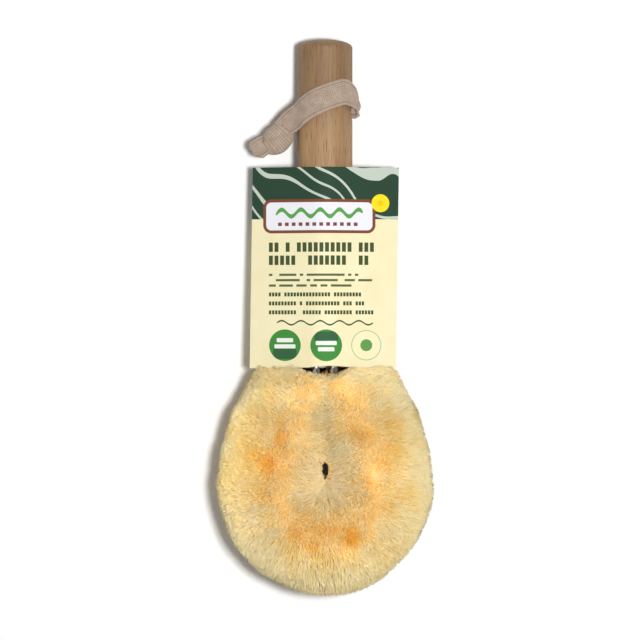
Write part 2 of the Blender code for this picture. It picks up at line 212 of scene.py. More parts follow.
print("camera, floor and light are set")


# Rubberwood, turned and sanded, left without varnish: matt, pale brown, with fine pores that
# show as short dark dashes along the grain.
wood = {
    "deeperFrom": 168.0, "deeperTo": 196.0, "unevenness": 40.0, "bumpDepth": 0.05,
    "noises": {  # width in millimetres, how fast it changes along the grain, and detail
        "bands": (5.0, 0.012, {"Detail": 3.0, "Roughness": 0.5}),
        "streaks": (0.9, 0.045, {"Detail": 5.0, "Roughness": 0.6, "Distortion": 0.15}),
        "pores": (0.32, 0.16, {"Detail": 2.0, "Roughness": 0.5}),
    },
}
woodMaterial, tree, shader = startMaterial("sandedRubberwood", {"Roughness": 0.62})
spot = brushPlace(tree)
grain = {}
for name, (width, lengthwise, detail) in wood["noises"].items():
    stretched = addNode(
        tree, "ShaderNodeVectorMath", "MULTIPLY", [spot, (1 / width, lengthwise, 1 / width)]
    )
    grain[name] = addNode(
        tree, "ShaderNodeTexNoise", {}, {"Vector": stretched, "Scale": 1.0, **detail}
    ).outputs["Fac"]
poreMask = addNode(
    tree, "ShaderNodeMapRange", {},
    {"Value": grain["pores"], "From Min": 0.6, "From Max": 0.72},
)
tone = addNode(
    tree, "ShaderNodeMix", {"data_type": "FLOAT"}, {0: 0.36, 2: grain["bands"], 3: grain["streaks"]}
)
grainColour = colourRamp(
    tree, tone,
    [(0.34, "#8e6d4b"), (0.46, "#a17e58"), (0.54, "#ac8860"), (0.68, "#ba9770")],
)
poreColour = addNode(
    tree, "ShaderNodeMix", {"data_type": "RGBA", "blend_type": "MULTIPLY"},
    {0: poreMask, 6: grainColour, 7: hexColour("#b39478")},
)
height = addNode(tree, "ShaderNodeSeparateXYZ", {}, [spot])
uneven = addNode(
    tree, "ShaderNodeMath", "MULTIPLY_ADD",
    [grain["bands"], wood["unevenness"], height.outputs["Y"]],
)
deeper = addNode(
    tree, "ShaderNodeMapRange", {"interpolation_type": "SMOOTHSTEP"},
    {"Value": uneven, "From Min": wood["deeperFrom"], "From Max": wood["deeperTo"]},
)
darkened = addNode(
    tree, "ShaderNodeMix", {"data_type": "RGBA", "blend_type": "MULTIPLY"},
    {0: deeper, 6: poreColour, 7: hexColour("#cdcac3")},
)
bump = addNode(
    tree, "ShaderNodeBump", {"invert": True},
    {"Strength": 0.35, "Distance": wood["bumpDepth"] * mm, "Height": poreMask},
)
setInputs(tree, shader, {"Base Color": darkened, "Normal": bump})
nodes["handle"].data.materials.clear()
nodes["handle"].data.materials.append(woodMaterial)


# Galvanised steel wire, drawn: bright grey with a soft shine and a faint cloudy zinc skin.
wireMaterial, tree, shader = startMaterial("galvanisedWire", {"Roughness": 0.42, "Metallic": 1.0})
clouds = addNode(
    tree, "ShaderNodeTexNoise", {}, {"Vector": brushPlace(tree), "Scale": 1.4, "Detail": 3.0}
)
zinc = colourRamp(tree, clouds, [(0.35, "#c4c4c0"), (0.65, "#e4e4e0")])
setInputs(tree, shader, {"Base Color": zinc})
for name in ("wire_strand_1", "wire_strand_2"):
    nodes[name].data.materials.clear()
    nodes[name].data.materials.append(wireMaterial)
print("handle and wires are finished")


filling = {
    "stem": 3.9, "loopRadius": 21.5, "sideRadius": 55.0, "neckRadius": 12.0, "turn": math.radians(27),
    "overNeck": 0.6, "fanLength": 14.04, "tuft": 26.0, "core": 21.8,
    "sections": 12, "rows": 10, "around": 48,
    "strandWidth": 0.36, "rootDepth": 2.4, "perSquareMetre": 4.6e6, "lean": 0.45,
    "crossSeam": 1.2, "slitMiddle": 6.8, "slitHalf": 4.2, "slitWidth": 2.3, "fullerFoot": 1.2,
    "ownShade": 0.24, "upShade": 3.5, "upGain": 1.7, "dip": 4.0, "dipWidth": 8.6, "tuftSize": 7.0,
    "endsPaintedDeeper": 0.86, "speckle": 1.1, "plainTone": 1.0, "stray": 0.55, "strayWidth": 12.0,
    "heldBack": 0.985, "thinEnd": 0.62, "pinkSpread": 190.0, "firstSeed": 11,
    "mapForStrands": 0.7, "mapTop": 0.98, "cellEdge": 0.16, "vertsInStrand": 9,
    "chances": {  # lowest, highest and seed
        "turn": (0.0, 2 * math.pi, 3), "length": (0.8, 1.12, 5),
        "thickness": (0.35, 0.62, 7), "tone": (0.0, 1.0, 9),
    },
}
turnIn = 1 - math.cos(filling["turn"])
straightRun = (
    filling["loopRadius"] - filling["stem"] - (filling["sideRadius"] + filling["neckRadius"]) * turnIn
) / math.sin(filling["turn"])
neckTop = (filling["sideRadius"] + filling["neckRadius"]) * math.sin(filling["turn"])
neckTop += straightRun * math.cos(filling["turn"])
headTop = neckTop + filling["overNeck"]
wireLegs = [
    (filling["overNeck"], 0.0),
    (filling["neckRadius"] * filling["turn"], filling["turn"]),
    (straightRun, 0.0),
    (filling["sideRadius"] * filling["turn"], -filling["turn"]),
    (filling["loopRadius"] * math.pi, -math.pi),
    (filling["sideRadius"] * filling["turn"], -filling["turn"]),
    (straightRun, 0.0),
    (filling["neckRadius"] * filling["turn"], filling["turn"]),
    (filling["overNeck"], 0.0),
]
headLength = sum(length for length, turn in wireLegs)


def wireAt(distance):  # middle of the wire pair and its heading, 0 where it runs straight down
    x, y, heading = filling["stem"], headTop, 0.0
    for length, turn in wireLegs:
        run = min(distance, length)
        if turn == 0.0:
            x += run * math.sin(heading)
            y -= run * math.cos(heading)
        else:
            bend = turn / length
            newHeading = heading + bend * run
            x += (math.cos(heading) - math.cos(newHeading)) / bend
            y += (math.sin(heading) - math.sin(newHeading)) / bend
            heading = newHeading
        distance -= run
        if distance <= 0.0:
            break
    return Vector((x, y, 0.0)), heading


def easeBetween(low, high, value):
    share = min(max((value - low) / (high - low), 0.0), 1.0)
    return share * share * (3 - 2 * share)


# Soft patches in the sisal, golden or, below 0, pale: place in millimetres, size across and
# along, strength.
goldPatches = [
    (-19.5, 22.5, 3.6, 6.5, 1.1), (-25.5, 9.0, 3.0, 10.0, 0.7), (-33.0, 16.0, 9.0, 10.0, 0.66),
    (-27.0, -3.0, 4.0, 6.0, 0.7), (-39.0, 2.0, 5.0, 8.0, 0.4), (13.0, 22.0, 8.0, 4.0, 0.75),
    (19.5, 20.0, 4.0, 4.0, 0.45), (30.0, 14.0, 9.0, 8.0, 0.5), (33.0, -2.0, 7.0, 8.0, 0.45),
    (11.6, -21.6, 4.6, 6.4, 1.35), (3.0, -18.0, 9.0, 5.0, 0.65), (-9.0, -14.0, 7.0, 4.0, 0.5),
    (-15.0, -22.0, 6.0, 4.0, 0.45), (-5.0, -26.0, 4.0, 3.0, 0.65), (28.0, -10.0, 5.0, 5.0, 0.6),
    (-1.0, 24.0, 2.2, 10.0, 0.6), (-8.0, 34.0, 10.0, 5.0, 0.2), (18.5, 5.0, 1.6, 14.0, 0.2),
    (-30.0, -28.0, 5.0, 4.0, 0.35), (24.0, 42.0, 6.0, 5.0, 0.35), (-24.0, 44.0, 6.0, 5.0, 0.15),
    (5.0, -10.0, 2.0, 5.0, 0.5), (16.0, -14.0, 4.0, 4.0, 0.4), (-37.0, 25.0, 8.0, 9.0, 0.6),
    (-28.0, 25.0, 5.0, 5.0, 0.5), (33.0, 28.0, 9.0, 6.0, 0.5), (39.0, 18.0, 6.0, 7.0, 0.45),
    (19.0, 8.0, 5.0, 8.0, -0.5), (0.0, 44.0, 15.0, 6.0, -0.5), (-17.0, 40.0, 8.0, 5.0, -0.4),
]

# Tufts that are paler or, below 0, deeper than the rest, written the same way. They are partly the
# sisal's own tone and partly painted light and shade: a paler left rim and a deeper right side even
# out the lamp's lean, and the deeper patches above the slit paint the seam's shade.
toneAndShadePatches = [
    (-45.0, 5.0, 9.0, 38.0, 0.34), (-30.0, 11.0, 8.0, 14.0, 0.2), (-22.0, 40.0, 12.0, 5.0, 0.3),
    (10.0, 41.0, 7.0, 5.0, 0.18), (-3.0, 29.0, 5.0, 8.0, -0.22), (4.0, 15.0, 5.0, 9.0, -0.07),
    (33.0, 29.0, 13.0, 11.0, -0.15), (43.0, 5.0, 5.0, 22.0, -0.1), (20.0, 8.0, 5.0, 9.0, 0.22),
    (-11.0, -9.0, 5.0, 5.0, -0.18), (-5.0, -16.0, 7.0, 4.0, -0.09), (-11.0, -31.0, 21.0, 8.0, 0.19),
    (14.0, -31.0, 12.0, 6.0, 0.12), (-36.0, -20.0, 10.0, 11.0, 0.16), (-40.0, 34.0, 8.0, 11.0, 0.24),
]


def patchesAt(patches, point):
    return [
        strength * math.exp(-(((point.x - x) / across) ** 2) - ((point.y - y) / along) ** 2)
        for x, y, across, along, strength in patches
    ]


def goldAt(point):
    values = patchesAt(goldPatches, point)
    total = max(values) + min(values)
    drift = noise.noise(point * 0.055 + Vector((7.0, 1.0, 3.0))) + 0.5 * noise.noise(point * 0.17)
    return min(max(total * 0.8 + 0.1 + drift * 0.5, 0.0), 1.0)


def fillingPlane(distance):
    point, heading = wireAt(distance)
    fromTop = min(distance, headLength - distance)
    if fromTop < filling["fanLength"]:
        lift = math.asin(math.sin(filling["turn"]) * fromTop / filling["fanLength"])
        heading = lift if distance < headLength / 2 else -math.pi - lift
    out = Vector((math.cos(heading), math.sin(heading), 0.0))
    reach = filling["loopRadius"] - 0.2
    if point.y > 0.0:
        toSeam = abs(point.x) / max(abs(out.x), 0.2)
        seamHeight = point.y - out.y * toSeam
        slit = math.exp(-(((seamHeight - filling["slitMiddle"]) / filling["slitHalf"]) ** 4))
        opening = slit * (filling["slitWidth"] / 2 + filling["crossSeam"])
        reach = min(toSeam + filling["crossSeam"] - opening, filling["loopRadius"] * 1.2)
    return point, out, reach, fromTop


def fillingRadius(plane, angle, share):
    point, out, reach, fromTop = plane
    direction = out * math.cos(angle) + Vector((0.0, 0.0, math.sin(angle)))
    place = point + direction * filling["tuft"]
    lump = noise.noise(place * 0.075) * 0.9 + noise.noise(place * 0.21) * 0.45
    radius = filling["tuft"] + lump - 0.35 + filling["fullerFoot"] * easeBetween(36.0, 47.0, -place.y)
    thin = (1 - easeBetween(0.0, 2.4, fromTop)) * math.sin(angle) ** 2 * filling["thinEnd"]
    radius *= 1 - thin
    if radius * math.cos(angle) < -reach:
        radius = reach / -math.cos(angle)
    return radius * share, direction


def makeCore(number):
    total = filling["rows"]
    start = headLength * number / filling["sections"]
    step = headLength / filling["sections"] / total
    shape = bmesh.new()
    direction = shape.verts.layers.float_vector.new("fibreDirection")
    reach = shape.verts.layers.float.new("fibreReach")
    density = shape.faces.layers.float.new("strandShare")
    gold = shape.verts.layers.float.new("goldShare")
    pink = shape.verts.layers.float.new("pinkShare")
    tone = shape.verts.layers.float.new("tuftToneAndShade")
    rings, grows = [], {}
    for row in range(total + 1):
        plane = fillingPlane(start + step * row)
        ring = []
        for side in range(filling["around"]):
            angle = 2 * math.pi * side / filling["around"]
            full, way = fillingRadius(plane, angle, 1.0)
            share = filling["core"] / filling["tuft"]
            inner = full * share
            clamped = full * math.cos(angle) < -plane[2] + 0.05
            if clamped:
                inner = full * filling["heldBack"]
            place = plane[0] + way * inner
            sink = (1 - easeBetween(0.0, 6.0, plane[3])) * easeBetween(-0.1, 0.35, math.sin(angle))
            place.y -= filling["dip"] * sink * math.exp(-((place.x / filling["dipWidth"]) ** 4))
            vert = shape.verts.new(toWorld @ (place * mm))
            stray = 1.2 + 1.6 * noise.noise(Vector((place.x * 0.9, place.z * 0.5, number)))
            stray *= filling["stray"] * (1 - easeBetween(0.4, 3.2, plane[3])) * math.sin(angle)
            stray *= math.exp(-((place.x / filling["strayWidth"]) ** 4))
            vert[direction] = toWorld.to_3x3() @ (way + Vector((0.0, max(stray, 0.0), 0.0))).normalized()
            vert[reach] = (full - inner) * mm
            grows[vert] = 0.0 if clamped else 1.0
            surface = plane[0] + way * full
            vert[gold] = goldAt(surface)
            vert[tone] = filling["plainTone"] + sum(patchesAt(toneAndShadePatches, surface))
            vert[pink] = math.exp(-(surface.x ** 2 + (surface.y - 3.0) ** 2) / filling["pinkSpread"])
            ring.append(vert)
        rings.append(ring)
    for corners in ringCorners(rings):
        shape.faces.new(corners)[density] = sum(grows[corner] for corner in corners) / 4
    shape.faces.new(rings[0][::-1])
    shape.faces.new(rings[-1])
    bmesh.ops.recalc_face_normals(shape, faces=shape.faces)
    return shape


# Sisal: stiff, pale golden leaf fibre, cut and trimmed. Matt with a faint sheen. Towards the roots
# the colour is painted deeper: painted shade between the strands and the glow of light through them.
fibreMaterial, tree, shader = startMaterial("trimmedSisal", {"Roughness": 0.72})
along, toneOf, goldOf, pinkOf, tuftOf = [
    addNode(tree, "ShaderNodeAttribute", {"attribute_name": name}).outputs["Fac"]
    for name in ("alongStrand", "strandTone", "goldShare", "pinkShare", "tuftToneAndShade")
]
# Painted shade: each ramp is deeper at the strand's root than at its tip.
paleColour = colourRamp(tree, along, [(0.0, "#f5c76c"), (0.5, "#ffdf94"), (1.0, "#ffeeb8")])
goldColour = colourRamp(tree, along, [(0.0, "#dd9a12"), (0.5, "#f5ba34"), (1.0, "#fdd566")])
pinkColour = colourRamp(tree, along, [(0.0, "#e2ac58"), (0.5, "#f3cc86"), (1.0, "#fbe0a8")])
tufts, dots = [
    addNode(tree, "ShaderNodeTexNoise", {}, {"Vector": brushPlace(tree), **detail})
    for detail in (
        {"Scale": 1 / filling["tuftSize"], "Detail": 3.0, "Roughness": 0.6},
        {"Scale": 1 / filling["speckle"], "Detail": 1.0},
    )
]
wayOf = addNode(tree, "ShaderNodeAttribute", {"attribute_name": "fibreDirection"}).outputs["Vector"]
standing = addNode(  # 1 where a strand stands straight up out of the face
    tree, "ShaderNodeVectorMath", "DOT_PRODUCT",
    [wayOf, tuple(toWorld.to_3x3() @ Vector((0.0, 0.0, 1.0)))],
)
shares = {}
for name, value, kind, low, high, first, last in (
    ("amber", goldOf, "LINEAR", 0.62, 0.95, 0.0, 0.75), ("paler", tufts, "LINEAR", 0.48, 0.7, 0.0, 0.45),
    ("notGold", goldOf, "LINEAR", 0.15, 0.75, 1.0, 0.1), ("crestShadeDot", dots, "LINEAR", 0.54, 0.66, 0.0, 1.0),
    ("onGold", goldOf, "LINEAR", 0.15, 0.6, 0.25, 1.0), ("bright", toneOf, "LINEAR", 0.2, 0.8, 0.8, 1.11),
    # Painted shade: a strand that stands straight up, towards the lamp, is painted deeper, for the shade seen
    # down between the cut ends.
    ("endOnShade", standing, "SMOOTHSTEP", 0.6, 1.0, 1.0, filling["endsPaintedDeeper"]),
    # Painted shade: along the crest, dark golden speckles stand in for the shade seen down between the
    # strands.
    ("onCrest", standing, "SMOOTHSTEP", 0.965, 0.992, 0.0, 0.8),
):
    shares[name] = addNode(
        tree, "ShaderNodeMapRange", {"interpolation_type": kind},
        {"Value": value, "From Min": low, "From Max": high, "To Min": first, "To Max": last},
    )
for name, first, second in (
    ("paler", "paler", "notGold"), ("crestShadeDot", "onCrest", "crestShadeDot"), ("crestShadeDot", "crestShadeDot", "onGold"),
):
    shares[name] = addNode(tree, "ShaderNodeMath", "MULTIPLY", [shares[first], shares[second]])
fibreColour = paleColour
# Among these colours, #cc8412 on the crest's speckles is painted shade.
for share, colour in (
    (goldOf, goldColour), (shares["amber"], hexColour("#f5ab24")), (pinkOf, pinkColour),
    (shares["paler"], hexColour("#fdecc4")), (shares["crestShadeDot"], hexColour("#cc8412")),
):
    fibreColour = addNode(
        tree, "ShaderNodeMix", {"data_type": "RGBA"}, {0: share, 6: fibreColour, 7: colour}
    )
# Painted light and shade: the tufts' painted patches and the painted shade of upright strands scale the
# colour.
tuftToneAndShade = addNode(tree, "ShaderNodeMath", "MULTIPLY", [tuftOf, shares["endOnShade"]])
brightness = addNode(tree, "ShaderNodeMath", "MULTIPLY", [shares["bright"], tuftToneAndShade])
toned = addNode(tree, "ShaderNodeVectorMath", "SCALE", {0: fibreColour, "Scale": brightness})
setInputs(tree, shader, {"Base Color": toned})


def strandTree():
    tree = bpy.data.node_groups.new("Fibre strands", "GeometryNodeTree")
    face = tree.interface
    face.new_socket("Geometry", in_out="INPUT", socket_type="NodeSocketGeometry")
    named = {}
    for name, kind in (
        ("Density", "Float"), ("Strand Width", "Float"), ("Root Depth", "Float"),
        ("Lean", "Float"), ("Seed", "Int"), ("Material", "Material"),
    ):
        named[name] = face.new_socket(name, in_out="INPUT", socket_type=f"NodeSocket{kind}")
    face.new_socket("Geometry", in_out="OUTPUT", socket_type="NodeSocketGeometry")
    given = addNode(tree, "NodeGroupInput").outputs
    attribute = {}
    for name, kind in (
        ("fibreDirection", "FLOAT_VECTOR"), ("fibreReach", "FLOAT"), ("strandShare", "FLOAT"),
    ):
        attribute[name] = addNode(
            tree, "GeometryNodeInputNamedAttribute", {"data_type": kind}, {"Name": name}
        ).outputs[0]
    density = addNode(tree, "ShaderNodeMath", "MULTIPLY", [given["Density"], attribute["strandShare"]])
    scatter = addNode(
        tree, "GeometryNodeDistributePointsOnFaces", {},
        {"Mesh": given["Geometry"], "Density": density, "Seed": given["Seed"]},
    )
    spot = addNode(tree, "GeometryNodeInputPosition").outputs[0]
    coarse = addNode(tree, "ShaderNodeTexNoise", {}, {"Vector": spot, "Scale": 95.0, "Detail": 1.0})
    fine = addNode(tree, "ShaderNodeTexNoise", {}, {"Vector": spot, "Scale": 420.0, "Detail": 1.0})
    bent = attribute["fibreDirection"]
    for field, amount in ((coarse.outputs["Color"], 1.5), (fine.outputs["Color"], 1.3)):
        centred = addNode(tree, "ShaderNodeVectorMath", "SUBTRACT", [field, (0.5, 0.5, 0.5)])
        strength = addNode(tree, "ShaderNodeMath", "MULTIPLY", [given["Lean"], amount])
        push = addNode(tree, "ShaderNodeVectorMath", "SCALE", {0: centred, "Scale": strength})
        bent = addNode(tree, "ShaderNodeVectorMath", "ADD", [bent, push]).outputs[0]
    scatterLean = addNode(
        tree, "FunctionNodeRandomValue", {"data_type": "FLOAT_VECTOR"},
        {0: (-0.16, -0.16, -0.16), 1: (0.16, 0.16, 0.16), "Seed": given["Seed"]},
    )
    bent = addNode(tree, "ShaderNodeVectorMath", "ADD", [bent, scatterLean]).outputs[0]
    chance = {
        name: addNode(
            tree, "FunctionNodeRandomValue", {"data_type": "FLOAT"}, {2: low, 3: high, "Seed": seed}
        )
        for name, (low, high, seed) in filling["chances"].items()
    }
    turned = addNode(tree, "ShaderNodeCombineXYZ", {}, {"Z": chance["turn"]})
    spun = addNode(tree, "FunctionNodeEulerToRotation", {}, [turned])
    aimed = addNode(
        tree, "FunctionNodeAlignRotationToVector", {"axis": "Z"},
        {"Rotation": spun, "Vector": bent},
    )
    reach = addNode(tree, "ShaderNodeMath", "MULTIPLY", [attribute["fibreReach"], chance["length"]])
    length = addNode(tree, "ShaderNodeMath", "ADD", [reach, given["Root Depth"]])
    width = addNode(tree, "ShaderNodeMath", "MULTIPLY", [given["Strand Width"], chance["thickness"]])
    size = addNode(tree, "ShaderNodeCombineXYZ", {}, {"X": width, "Y": width, "Z": length})
    inward = addNode(tree, "ShaderNodeMath", "MULTIPLY", [given["Root Depth"], -1.0])
    back = addNode(
        tree, "ShaderNodeVectorMath", "SCALE",
        {0: attribute["fibreDirection"], "Scale": inward},
    )
    rooted = addNode(
        tree, "GeometryNodeSetPosition", {},
        {"Geometry": scatter.outputs["Points"], "Offset": back},
    )
    toned = addNode(
        tree, "GeometryNodeStoreNamedAttribute", {"data_type": "FLOAT", "domain": "POINT"},
        {"Geometry": rooted, "Name": "strandTone", "Value": addNode(
            tree, "ShaderNodeMix", {"data_type": "FLOAT"},
            {0: 0.6, 2: chance["tone"], 3: fine},
        )},
    )
    cone = addNode(
        tree, "GeometryNodeMeshCone", {"fill_type": "NGON"},
        {"Vertices": 3, "Side Segments": 2, "Radius Top": 0.42, "Radius Bottom": 1.0, "Depth": 1.0},
    )
    height = addNode(tree, "ShaderNodeSeparateXYZ", {}, [addNode(tree, "GeometryNodeInputPosition")])
    marked = addNode(
        tree, "GeometryNodeStoreNamedAttribute", {"data_type": "FLOAT", "domain": "POINT"},
        {"Geometry": cone.outputs["Mesh"], "Name": "alongStrand", "Value": height.outputs["Z"]},
    )
    curl = addNode(tree, "ShaderNodeMath", "POWER", [height.outputs["Z"], 2.0])
    curled = addNode(tree, "ShaderNodeCombineXYZ", {}, {"X": curl})
    strand = addNode(tree, "GeometryNodeSetPosition", {}, {"Geometry": marked, "Offset": curled})
    placed = addNode(
        tree, "GeometryNodeInstanceOnPoints", {},
        {"Points": toned, "Instance": strand, "Rotation": aimed, "Scale": size},
    )
    real = addNode(tree, "GeometryNodeRealizeInstances", {}, {"Geometry": placed})
    both = tree.nodes.new("GeometryNodeJoinGeometry")
    tree.links.new(real.outputs[0], both.inputs[0])
    tree.links.new(given["Geometry"], both.inputs[0])
    soft = addNode(tree, "GeometryNodeSetShadeSmooth", {}, {"Geometry": both})
    painted = addNode(
        tree, "GeometryNodeSetMaterial", {},
        {"Geometry": soft, "Material": given["Material"]},
    )
    addNode(tree, "NodeGroupOutput", {}, [painted])
    return tree, {name: socket.identifier for name, socket in named.items()}


def softenShade(mesh):  # light passes through the fibres, so the tuft shades softer than its strands
    own = readAll(mesh.vertices, "normal", np.float32, 3).reshape(-1, 3)
    way = readAll(mesh.attributes["fibreDirection"].data, "vector", np.float32, 3).reshape(-1, 3)
    faceWay = np.array(toWorld.to_3x3() @ Vector((0.0, 0.0, 1.0)), np.float32)
    soft = way + faceWay * filling["upShade"] * np.clip(way @ faceWay * filling["upGain"], 0.0, 1.0)[:, None]
    soft /= np.maximum(np.linalg.norm(soft, axis=1, keepdims=True), 0.001)
    mixed = own * filling["ownShade"] + soft * (1 - filling["ownShade"])
    mixed /= np.maximum(np.linalg.norm(mixed, axis=1, keepdims=True), 0.001)
    mesh.normals_split_custom_set_from_vertices(mixed)


def readAll(items, name, kind, width=1):  # one value, or a few, for each item of a mesh
    values = np.empty(len(items) * width, kind)
    items.foreach_get(name, values)
    return values


def layOutMap(mesh):  # a map for a baked picture: the core's part, and a cell for every strand
    around, coreVerts = filling["around"], (filling["rows"] + 1) * filling["around"]
    vert = readAll(mesh.loops, "vertex_index", np.int32)
    starts = readAll(mesh.polygons, "loop_start", np.int32)
    corners = readAll(mesh.polygons, "loop_total", np.int32)
    up = readAll(mesh.attributes["alongStrand"].data, "value", np.float32)[vert]
    onCore = vert < coreVerts
    side = np.where(onCore, vert % around, (vert - coreVerts) % 3).astype(np.float32)
    crosses = (np.maximum.reduceat(side, starts) - np.minimum.reduceat(side, starts) > 1) & (corners == 4)
    full = np.where(onCore, around, 3)
    turned = np.where(np.repeat(crosses, corners) & (side == 0), full, side) / full
    strand = np.maximum(vert - coreVerts, 0) // filling["vertsInStrand"]
    across = math.ceil(math.sqrt(2 * (strand.max() + 1) / filling["mapForStrands"]))
    down = math.ceil((strand.max() + 1) / across)
    edge = filling["cellEdge"]  # bare border of a cell
    u = (strand % across + edge + (1 - 2 * edge) * turned) / across
    v = (strand // across + edge + (1 - 2 * edge) * up) / down * filling["mapForStrands"]
    low = filling["mapTop"] - filling["mapForStrands"]
    place = np.stack((
        np.where(onCore, turned, u), np.where(onCore, vert // around / filling["rows"] * low, 1 - v),
    ), axis=1)
    mesh.uv_layers.new(name="OFBake").data.foreach_set("uv", place.astype(np.float32).ravel())


strands, strandInput = strandTree()
for number in range(filling["sections"]):
    name = f"fibreSection{number + 1:02d}"
    section = meshObject(name, makeCore(number), fibreMaterial)
    grow = section.modifiers.new("strands", "NODES")
    grow.node_group = strands
    for title, value in {
        "Density": filling["perSquareMetre"], "Strand Width": filling["strandWidth"] * mm,
        "Root Depth": filling["rootDepth"] * mm, "Lean": filling["lean"],
        "Seed": number + filling["firstSeed"], "Material": fibreMaterial,
    }.items():
        grow[strandInput[title]] = value
    grown = madePlain(section)
    layOutMap(grown)
    softenShade(grown)
    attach(section, "brush")
    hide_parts(f"fibre_section_{number + 1:02d}")
print("fibre filling is grown")


card = {
    "halfWidth": 32.0, "foot": 51.527, "height": 87.5, "wall": 0.45, "roundHandle": 13.25,
    "aside": -0.3, "skew": 1.3, "columns": 48, "rows": 44, "footRise": 1.0, "warp": 0.3,
}


def panelHeight(x):  # flat panels from the folds, tangent to the bend over the handle
    slope = math.asin(card["roundHandle"] / card["halfWidth"])
    if abs(x) < card["roundHandle"] * math.sin(slope):
        return math.sqrt(card["roundHandle"] ** 2 - x * x)
    return (card["halfWidth"] - abs(x)) * math.tan(slope)


def makeCard():
    shape = bmesh.new()
    columns, rows = card["columns"], card["rows"]
    outline = [(-card["halfWidth"] + 2 * card["halfWidth"] * i / columns, 1) for i in range(columns + 1)]
    outline += [(x, -1) for x, side in outline[-2:0:-1]]
    rings = []
    for row in range(rows + 1):
        share = row / rows
        ring = []
        for x, side in outline:
            high = panelHeight(x) * side
            edge = 1 - abs(x) / card["halfWidth"]
            lift = noise.noise(Vector((x * 0.06, share * 4.5, side * 3.0))) * card["warp"]
            lift += 0.35 * math.exp(-((share - 0.02) / 0.05) ** 2) * math.sin(x * 0.19 + 0.6) * edge
            rise = card["footRise"] * math.exp(-(((x - 3.0) / 9.0) ** 2)) * (1 - share) ** 6
            rise -= 0.25 * math.exp(-(((abs(x) - 31.0) / 8.0) ** 2)) * (1 - share) ** 6
            aside = card["skew"] * (share - 0.5) + card["aside"]
            place = Vector((
                x + aside, card["foot"] + card["height"] * share + rise * (side > 0),
                high + lift * side * min(edge * 4, 1.0),
            ))
            ring.append(shape.verts.new(toWorld @ (place * mm)))
        rings.append(ring)
    for corners in ringCorners(rings):
        shape.faces.new(corners)
    return shape


def roundedMask(tree, place, middle, half, corner):  # 1 inside a block with rounded corners
    inside = (half[0] - corner, half[1] - corner, 1.0)
    zero = (0.0, 0.0, 0.0)
    far = place
    for operation, other in (
        ("SUBTRACT", (*middle, 0.0)), ("ABSOLUTE", zero), ("SUBTRACT", inside), ("MAXIMUM", zero),
        ("LENGTH", zero),
    ):
        far = addNode(tree, "ShaderNodeVectorMath", operation, [far, other])
    return addNode(
        tree, "ShaderNodeMapRange", {},
        {
            "Value": far, "From Min": corner - 0.06, "From Max": corner + 0.06,
            "To Min": 1.0, "To Max": 0.0,
        },
    ).outputs[0]


def stepsBetween(tree, high, low, pitch):  # whole steps from one value to another, and the rest
    run = addNode(tree, "ShaderNodeMath", "SUBTRACT", [high, low])
    run = addNode(tree, "ShaderNodeMath", "DIVIDE", [run, pitch])
    return [addNode(tree, "ShaderNodeMath", part, [run]) for part in ("FLOOR", "FRACT")]


def rowsMask(tree, place, rows):  # lines of plain blocks, broken where words would break
    parts = addNode(tree, "ShaderNodeSeparateXYZ", {}, [place])
    line, downLine = stepsBetween(tree, rows["top"], parts.outputs["Y"], rows["pitch"])
    cell, acrossCell = stepsBetween(tree, parts.outputs["X"], rows["left"], rows["cell"])
    gapChance, endChance = [
        addNode(
            tree, "ShaderNodeTexWhiteNoise", {"noise_dimensions": "3D"},
            {"Vector": addNode(tree, "ShaderNodeCombineXYZ", {}, spot)},
        )
        for spot in ({"X": cell, "Y": line, "Z": rows["seed"]}, {"X": line, "Y": rows["seed"]})
    ]
    cells = rows["width"] / rows["cell"]
    last = addNode(
        tree, "ShaderNodeMapRange", {},
        {"Value": endChance, "To Min": cells * rows["shortest"], "To Max": cells},
    )
    mask, *others = [
        addNode(tree, "ShaderNodeMath", operation, inputs)
        for operation, inputs in (
            ("LESS_THAN", [downLine, rows["bar"]]),
            ("COMPARE", [line, (rows["lines"] - 1) / 2, rows["lines"] / 2 - 0.25]),
            ("LESS_THAN", [acrossCell, rows["block"]]),
            ("GREATER_THAN", [gapChance, rows["gaps"]]),
            ("LESS_THAN", [cell, last]), ("GREATER_THAN", [cell, -0.5]),
        )
    ]
    for other in others:
        mask = addNode(tree, "ShaderNodeMath", "MULTIPLY", [mask, other])
    return mask


